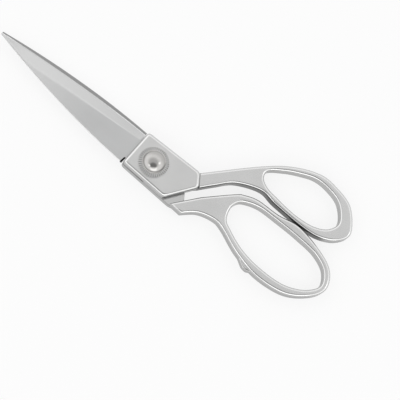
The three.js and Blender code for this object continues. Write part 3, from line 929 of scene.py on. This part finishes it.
class SHEARS_OT_make_handles(bpy.types.Operator):
    """Make the two chromed handles: a pivot block, a shank and a bow each"""
    bl_idname = "shears.make_handles"
    bl_label = "Make Handles"

    def execute(self, context):
        scene = context.scene
        block, finishes = scene.shears_block, scene.shears_finishes
        chrome = finish_named(
            "plated_chrome", handle_chrome, base=finishes.chrome, wall=finishes.chrome_wall_shade,
            gap=finishes.chrome_gap_shade, roughness=0.15)
        plating = [chrome, seam_steel(finishes)]
        handles = []
        for body, node, outline, bow, form, swell, bore in (
            (THUMB_HALF, "thumb_handle", thumb_outline, scene.shears_thumb_bow, THUMB_FORM,
             block.thumb_swell, thumb_bore),
            (FINGER_HALF, "finger_handle", finger_outline, scene.shears_finger_bow, FINGER_FORM,
             block.finger_swell, finger_bore),
        ):
            turned_over = body == FINGER_HALF
            handle = handle_plate(scene, node + "_plated", outline(scene), bow, form)
            set_finishes(handle.data, plating)
            if turned_over:
                combine(handle, bow_lug(scene), "UNION")
            combine(handle, pivot_block(scene, swell, turned_over), "UNION")
            combine(handle, shank_seam(scene, swell, turned_over), "DIFFERENCE")
            combine(handle, edge_relief(scene, turned_over), "DIFFERENCE")
            combine(handle, tang_pocket(scene, turned_over), "DIFFERENCE")
            combine(handle, bore(scene), "DIFFERENCE")
            dress(handle, body, node, plating, crease=radians(32))
            mark_lean(handle.data)
            handles.append(handle)
        mark_gap_shade(handles, scene.shears_handle.gap_reach, block.arris)
        return {"FINISHED"}


# Blades

BLADE_STATIONS = 64
RIDGE_STEPS = 4
HOLLOW_STEPS = 8
EDGE_WIDTH = 0.00006
# Softness of the ridge at the heel, and what it gains to the tip
RIDGE_SOFT = 0.0003
RIDGE_SOFTER = 0.0012
SPINE_PULL = 0.55
# The most that a detail takes where the blade is narrow, as shares of the width there
CHAMFER_MOST = 0.2
HONE_MOST = 0.2
MARGIN_MOST = 0.25
SOFT_MOST_SPINE = 0.9
SOFT_MOST_EDGE = 0.4
# A normal below this faces the other half
INNER_NORMAL = -0.9
# Places of a blade's finishes
GROUND = 0
HOLLOW = 1
# The notch takes the seam finish, a painted shade
NOTCH = 2


def blade_section(scene, heel, along):
    """The outline of the blade across, at a share of its length from the heel to the tip."""
    blade = scene.shears_blade
    x = heel + (blade.reach - heel) * along
    spine = blade.tip_spine + (blade.spine - blade.tip_spine) * (1 - along ** blade.spine_sweep)
    edge = -blade.tip_edge - (blade.edge - blade.tip_edge) * (1 - along ** blade.edge_sweep)
    thick = blade.thickness + (blade.tip_thickness - blade.thickness) * along
    width = spine - edge
    chamfer = min(blade.chamfer, width * CHAMFER_MOST)
    ridge = min(blade.ridge_slope * (x - scene.shears_block.front) - blade.ridge, spine - 2 * chamfer)
    slope = (thick - blade.land) / (ridge - edge)
    hone = min(blade.hone, width * HONE_MOST)
    soft = min(
        RIDGE_SOFT + RIDGE_SOFTER * along,
        (spine - chamfer - ridge) * SOFT_MOST_SPINE, (ridge - edge) * SOFT_MOST_EDGE)
    margin = min(blade.margin, width * MARGIN_MOST)
    depth = blade.hollow * (1 - along)

    def across(y, z):
        return Vector((x, y, z))

    outline = [
        across(edge, 0), across(edge, EDGE_WIDTH), across(edge + hone, blade.land + hone * slope),
        *rounding(
            across(ridge - soft, thick - soft * slope), across(ridge, thick), across(ridge + soft, thick),
            RIDGE_STEPS + 1),
        *rounding(
            across(spine - chamfer, thick), across(spine, thick), across(spine, thick - chamfer),
            RIDGE_STEPS, SPINE_PULL),
        across(spine, 0),
    ]
    for k in range(HOLLOW_STEPS + 1):
        turn = k / HOLLOW_STEPS
        y = spine - margin - (width - 2 * margin) * turn
        outline.append(across(y, depth * (1 - (2 * turn - 1) ** 2)))
    return outline


def set_inner_slot(bm):
    """Gives the faces towards the other half the hollow grind's finish, painted darker as painted shade."""
    for face in bm.faces:
        face.material_index = HOLLOW if face.normal.z < INNER_NORMAL else GROUND


def blade_shell(scene, name, turned_over):
    fits, block = scene.shears_fits, scene.shears_block
    heel = block.front + fits.seat
    bm = bmesh.new()
    rings = [
        ring_edges(bm, blade_section(scene, heel, i / BLADE_STATIONS)) for i in range(BLADE_STATIONS + 1)]
    for near, far in zip(rings, rings[1:]):
        bmesh.ops.bridge_loops(bm, edges=near + far)
    bmesh.ops.holes_fill(bm, edges=rings[0] + rings[-1], sides=0)
    bmesh.ops.recalc_face_normals(bm, faces=bm.faces[:])
    set_inner_slot(bm)
    return in_half(bm, name, fits.ride / 2, turned_over)


def tang_plate(scene, turned_over):
    fits, block, blade = scene.shears_fits, scene.shears_block, scene.shears_blade
    bm = slab(tang_outline(scene, 0, block.front + 2 * fits.seat), blade.thickness)
    set_inner_slot(bm)
    return in_half(bm, "tang", fits.ride / 2, turned_over)


def heel_notch(scene, turned_over):
    """Cuts the relief between the spine and the block; its faces take the seam finish, painted dark as
    painted shade.
    """
    fits, block, blade = scene.shears_fits, scene.shears_block, scene.shears_blade
    heel, out, deep = block.front + fits.seat, blade.spine + blade.notch, blade.spine - blade.notch_depth
    bm = slab((
        flat(heel - blade.notch, out), flat(heel - blade.notch, deep),
        flat(heel + blade.notch / 2, deep), flat(heel + blade.notch, out),
    ), block.thickness)
    set_slot(bm, NOTCH)
    return in_half(bm, "heel_notch", blade.notch_web, turned_over)


class SHEARS_OT_make_blades(bpy.types.Operator):
    """Make the two hollow ground blades with their tangs"""
    bl_idname = "shears.make_blades"
    bl_label = "Make Blades"

    def execute(self, context):
        scene = context.scene
        finishes = scene.shears_finishes
        outer = finish_named(
            "ground_steel", ground_steel, base=finishes.ground_steel, tip=finishes.tip_steel,
            bevel=finishes.bevel_light_steel, honed=finishes.honed_highlight_steel, roughness=0.33, scratch=0.12)
        # Painted shade: the inner faces take a darker copy of the blade steel
        hollow = finishes.hollow_steel
        inner = finish_named(
            "hollow_steel", ground_steel, base=hollow, tip=hollow, bevel=hollow,
            honed=finishes.honed_highlight_steel, roughness=0.4, scratch=0.2)
        steels = [outer, inner, seam_steel(finishes)]
        for body, node, turned_over, bore in (
            (THUMB_HALF, "thumb_blade", False, thumb_bore),
            (FINGER_HALF, "finger_blade", True, finger_bore),
        ):
            blade = blade_shell(scene, node + "_ground", turned_over)
            set_finishes(blade.data, steels)
            combine(blade, tang_plate(scene, turned_over), "UNION")
            combine(blade, heel_notch(scene, turned_over), "DIFFERENCE")
            combine(blade, bore(scene), "DIFFERENCE")
            dress(blade, body, node, steels, crease=radians(14))
            mark_grind(blade.data)
        return {"FINISHED"}


# Pivot

ROUND_SIDES = 96
DOME_STEPS = 20
CAP_LIP = 0.00015
SCREW_LIP = 0.0002
# Where a tooth's crest and the valley after it start and end, as shares of the pitch
TOOTH_CREST = (0.0, 0.54)
TOOTH_VALLEY = (0.58, 0.96)


class SHEARS_OT_make_cap(bpy.types.Operator):
    """Make the polished domed cap on the pivot"""
    bl_idname = "shears.make_cap"
    bl_label = "Make Cap"

    def execute(self, context):
        scene = context.scene
        pivot, fits, finishes = scene.shears_pivot, scene.shears_fits, scene.shears_finishes
        floor = pivot_heights(scene).cap_floor
        bore = pivot.screw_radius + fits.run
        ceiling = floor + pivot.thread
        rim = floor + pivot.cap_skirt
        profile = [
            (0, ceiling), (bore, ceiling), (bore, floor), (pivot.cap_radius - CAP_LIP, floor),
            (pivot.cap_radius, floor + CAP_LIP),
        ]
        for k in range(DOME_STEPS):
            rise = pi / 2 * k / DOME_STEPS
            profile.append((pivot.cap_radius * cos(rise), rim + pivot.cap_dome * sin(rise)))
        profile.append((0, rim + pivot.cap_dome))
        cap = at_pivot(turned(profile, ROUND_SIDES), "pivot_cap_polished")
        mirror = finish_named("cap_polish", mirror_steel, base=finishes.cap_mirror, roughness=0.1)
        dress(cap, THUMB_HALF, "pivot_cap", [mirror], crease=radians(40))
        return {"FINISHED"}


def tooth_ring(teeth, crest_radius, valley_radius, crest_height, valley_height):
    """A ring of points that go over the teeth: a flat crest and a flat valley each."""
    corners = [(part, crest_radius, crest_height) for part in TOOTH_CREST]
    corners += [(part, valley_radius, valley_height) for part in TOOTH_VALLEY]
    ring = []
    for k in range(teeth):
        for part, radius, height in corners:
            turn = 2 * pi * (k + part) / teeth
            ring.append(Vector((radius * cos(turn), radius * sin(turn), height)))
    return ring


class SHEARS_OT_make_toothed_washer(bpy.types.Operator):
    """Make the toothed washer under the cap"""
    bl_idname = "shears.make_toothed_washer"
    bl_label = "Make Toothed Washer"

    def execute(self, context):
        scene = context.scene
        pivot, fits, finishes = scene.shears_pivot, scene.shears_fits, scene.shears_finishes
        floor = pivot_heights(scene).washer_floor
        top = floor + pivot.washer_thickness
        bore = pivot.screw_radius + fits.seat
        root = pivot.washer_root
        lip = pivot.tooth_fall
        bm = bmesh.new()
        rings = [ring_edges(bm, tooth_ring(pivot.washer_teeth, *ring)) for ring in (
            (bore, bore, floor, floor), (bore, bore, top, top),
            (root, root, top, top), (root + lip, root + lip, top, top - lip),
            (pivot.washer_radius, pivot.washer_valley, top - pivot.tooth_fall, floor + pivot.tooth_foot),
            (pivot.washer_radius, pivot.washer_valley, floor, floor),
        )]
        for inner, outer in zip(rings, rings[1:] + rings[:1]):
            bmesh.ops.bridge_loops(bm, edges=inner + outer)
        bmesh.ops.recalc_face_normals(bm, faces=bm.faces[:])
        washer = at_pivot(bm, "toothed_washer_cut")
        crest = PIVOT.z + top - pivot.tooth_fall / 2
        outside = (pivot.washer_radius + pivot.washer_valley) / 2
        # Painted shade: the valleys are marked to take the dark colour
        valley_shade = [
            float(vertex.co.z < crest and bore < (vertex.co - PIVOT).xy.length < outside)
            for vertex in washer.data.vertices]
        mark(washer.data, "gap", valley_shade)
        steel = finish_named(
            "toothed_steel", turned_steel, base=finishes.tooth_highlight_steel, gap=finishes.valley_shade_steel,
            roughness=0.15)
        dress(washer, THUMB_HALF, "toothed_washer", [steel], crease=radians(35))
        return {"FINISHED"}


class SHEARS_OT_make_screw(bpy.types.Operator):
    """Make the slotted countersunk screw that comes up from below"""
    bl_idname = "shears.make_screw"
    bl_label = "Make Screw"

    def execute(self, context):
        scene = context.scene
        pivot = scene.shears_pivot
        heights = pivot_heights(scene)
        bottom = heights.head_bottom
        screw = at_pivot(turned((
            (0, bottom), (pivot.head_radius - SCREW_LIP, bottom), (pivot.head_radius, bottom + SCREW_LIP),
            (pivot.screw_radius, heights.head_top), (pivot.screw_radius, heights.screw_top),
            (0, heights.screw_top),
        ), ROUND_SIDES), "pivot_screw_turned")
        bm = bmesh.new()
        bmesh.ops.create_cube(bm, size=1)
        bmesh.ops.scale(
            bm, vec=(4 * pivot.head_radius, pivot.slot_width, 2 * pivot.slot_depth), verts=bm.verts[:])
        combine(screw, in_half(bm, "driver_slot", bottom), "DIFFERENCE")
        steel = lathe_steel(scene.shears_finishes)
        dress(screw, THUMB_HALF, "pivot_screw", [steel], crease=radians(30))
        return {"FINISHED"}


class SHEARS_OT_finish_bearing(bpy.types.Operator):
    """Give the bush and the spring washer inside the pivot their finishes"""
    bl_idname = "shears.finish_bearing"
    bl_label = "Finish Bearing"

    def execute(self, context):
        finishes = context.scene.shears_finishes
        bronze = finish_named(
            "lathe_bronze", turned_steel, base=finishes.bronze, gap=finishes.gap, roughness=0.34)
        for node, material in (("pivot_bush", bronze), ("spring_washer", lathe_steel(finishes))):
            slots = frame["nodes"][node].data.materials
            slots.clear()
            slots.append(material)
        return {"FINISHED"}


# Stage

# Sky levels by height, from the horizon at 0 to overhead at 1
FAR_SKY = ((0.0, 0.35), (0.1, 0.5), (0.26, 0.8), (0.6, 0.82), (0.85, 1.0), (0.93, 0.74), (0.97, 0.66))
NEAR_SKY = ((0.0, 0.25), (0.2, 0.3), (0.34, 0.75), (0.5, 1.02), (0.8, 1.15), (0.88, 1.0), (0.95, 0.66))
# Where the far sky goes over to the near sky, across the blades
SKY_CHANGE = (-0.75, -0.2)
# Patches of the sky: direction, level, and the angles where the patch fades out and is full
LENS = ((-0.17, 0.22, 0.96), 0.24, (23, 12))
WINDOWS = (
    ((-0.38, -0.33, 0.86), 2.0, (6, 3.5)),
    ((0.12, 0.42, 0.9), 2.0, (6, 3.5)),
)
FLOOR_GLOW = 0.8
SENSOR_WIDTH = 36.0
CLIP_END = 20.0


def grey(level):
    return (level, level, level, 1.0)


def floor_white(base):
    """White table: it takes the shadow, and stays white where it is seen or mirrored."""
    material = bpy.data.materials.new("floor_white")
    material.use_nodes = True
    tree = material.node_tree
    tree.nodes.clear()
    table = add_node(tree, "ShaderNodeBsdfDiffuse", {"Color": base})
    glow = tree.nodes.new("ShaderNodeEmission")
    path = tree.nodes.new("ShaderNodeLightPath")
    seen = path.outputs["Is Camera Ray"]
    for kind in ("Is Glossy Ray", "Is Transmission Ray"):
        seen = add_node(
            tree, "ShaderNodeMath", {0: seen, 1: path.outputs[kind]}, operation="MAXIMUM").outputs["Value"]
    part = add_node(tree, "ShaderNodeMath", {0: seen, 1: FLOOR_GLOW}, operation="MULTIPLY")
    blend = add_node(tree, "ShaderNodeMixShader", {
        "Fac": part.outputs["Value"], 1: table.outputs["BSDF"], 2: glow.outputs["Emission"]})
    add_node(tree, "ShaderNodeOutputMaterial", {"Surface": blend.outputs["Shader"]})
    return material


def make_floor(scene):
    bm = bmesh.new()
    bmesh.ops.create_grid(bm, x_segments=1, y_segments=1, size=scene.shears_stage.floor_size / 2)
    floor = new_object(bm, "floor")
    floor.data.materials.append(floor_white(scene.shears_finishes.floor))


def level_ramp(tree, height, stops):
    """A grey ramp from the horizon up to overhead."""
    ramp = add_node(tree, "ShaderNodeValToRGB", {"Fac": height})
    points = ramp.color_ramp.elements
    while len(points) < len(stops):
        points.new(stops[len(points)][0])
    for point, (position, level) in zip(points, stops):
        point.position = position
        point.color = grey(level)
    return ramp.outputs["Color"]


def sky_patch(tree, where, sky, towards, level, fade):
    """The sky with a round patch of another level."""
    near = add_node(
        tree, "ShaderNodeVectorMath", {0: where, 1: Vector(towards).normalized()}, operation="DOT_PRODUCT")
    disc = rising(tree, near.outputs["Value"], *(cos(radians(side)) for side in fade))
    return blended(tree, disc, sky, grey(level))


def make_sky(scene):
    """Soft light from all sides: brightest high on the near side, dimmer overhead and low down."""
    world = scene.world or bpy.data.worlds.new("studio")
    scene.world = world
    world.use_nodes = True
    tree = world.node_tree
    tree.nodes.clear()
    where = tree.nodes.new("ShaderNodeTexCoord").outputs["Generated"]
    split = add_node(tree, "ShaderNodeSeparateXYZ", {"Vector": where})
    far, near = (level_ramp(tree, split.outputs["Z"], stops) for stops in (FAR_SKY, NEAR_SKY))
    sky = blended(tree, rising(tree, split.outputs["Y"], *SKY_CHANGE), far, near)
    for patch in (LENS, *WINDOWS):
        sky = sky_patch(tree, where, sky, *patch)
    back = add_node(tree, "ShaderNodeBackground", {"Color": sky})
    add_node(tree, "ShaderNodeOutputWorld", {"Surface": back.outputs["Background"]})


def soft_box(scene, direction, reach, width, power):
    """A large lamp that faces the shears."""
    lamp = bpy.data.lights.new("soft_box", "AREA")
    lamp.shape = "SQUARE"
    lamp.size = width
    lamp.energy = power
    holder = bpy.data.objects.new("soft_box", lamp)
    scene.collection.objects.link(holder)
    holder.location = Vector(direction).normalized() * reach
    holder.rotation_euler = Vector(direction).to_track_quat("Z", "Y").to_euler()


def make_camera(scene):
    stage = scene.shears_stage
    tilt, turn = stage.view_tilt, stage.view_turn
    back = Vector((0, sin(tilt), cos(tilt)))
    across = Vector((0, cos(tilt), -sin(tilt)))
    along = Vector((1, 0, 0))
    right = -along * cos(turn) - across * sin(turn)
    up = along * sin(turn) - across * cos(turn)
    face = PIVOT + Vector((0, 0, scene.shears_block.thickness))
    aim = face + right * stage.aim_right - up * stage.aim_down
    data = bpy.data.cameras.new("camera")
    data.sensor_fit = "HORIZONTAL"
    data.sensor_width = SENSOR_WIDTH
    data.lens = data.sensor_width * stage.distance / stage.view_width
    data.clip_end = CLIP_END
    camera = bpy.data.objects.new("camera", data)
    scene.collection.objects.link(camera)
    camera.matrix_world = Matrix.Translation(aim + back * stage.distance) @ Matrix(
        (right, up, back)).transposed().to_4x4()
    scene.camera = camera


class SHEARS_OT_set_stage(bpy.types.Operator):
    """Set the floor, the soft light and the camera"""
    bl_idname = "shears.set_stage"
    bl_label = "Set Stage"

    def execute(self, context):
        scene = context.scene
        scene.view_settings.view_transform = "Standard"
        make_floor(scene)
        make_sky(scene)
        soft_box(scene, direction=(-0.66, 0.75, 1.15), reach=1.8, width=1.2, power=2.5)
        make_camera(scene)
        return {"FINISHED"}


class SHEARS_PT_build(bpy.types.Panel):
    """Lists the steps that build the shears"""
    bl_label = "Dressmaking Shears"
    bl_idname = "SHEARS_PT_build"
    bl_space_type = "VIEW_3D"
    bl_region_type = "UI"
    bl_category = "Shears"

    def draw(self, context):
        for operator in OPERATORS:
            self.layout.operator(operator.bl_idname)


SETTINGS = {
    "shears_blade": ShearsBladeSizes,
    "shears_handle": ShearsHandleSizes,
    "shears_block": ShearsBlockSizes,
    "shears_thumb_bow": ShearsThumbBowSizes,
    "shears_finger_bow": ShearsFingerBowSizes,
    "shears_pivot": ShearsPivotSizes,
    "shears_fits": ShearsFits,
    "shears_finishes": ShearsFinishes,
    "shears_stage": ShearsStage,
}
OPERATORS = (
    SHEARS_OT_make_handles,
    SHEARS_OT_make_blades,
    SHEARS_OT_make_cap,
    SHEARS_OT_make_toothed_washer,
    SHEARS_OT_make_screw,
    SHEARS_OT_finish_bearing,
    SHEARS_OT_set_stage,
)
CLASSES = (*SETTINGS.values(), *OPERATORS, SHEARS_PT_build)


def register():
    for cls in CLASSES:
        bpy.utils.register_class(cls)
    for name, group in SETTINGS.items():
        setattr(bpy.types.Scene, name, PointerProperty(type=group))


def unregister():
    for name in SETTINGS:
        delattr(bpy.types.Scene, name)
    for cls in reversed(CLASSES):
        bpy.utils.unregister_class(cls)


def main():
    register()
    bpy.ops.shears.make_handles()
    bpy.ops.shears.make_blades()
    bpy.ops.shears.make_cap()
    bpy.ops.shears.make_toothed_washer()
    bpy.ops.shears.make_screw()
    bpy.ops.shears.finish_bearing()
    bpy.ops.shears.set_stage()


if __name__ == "__main__":
    main()
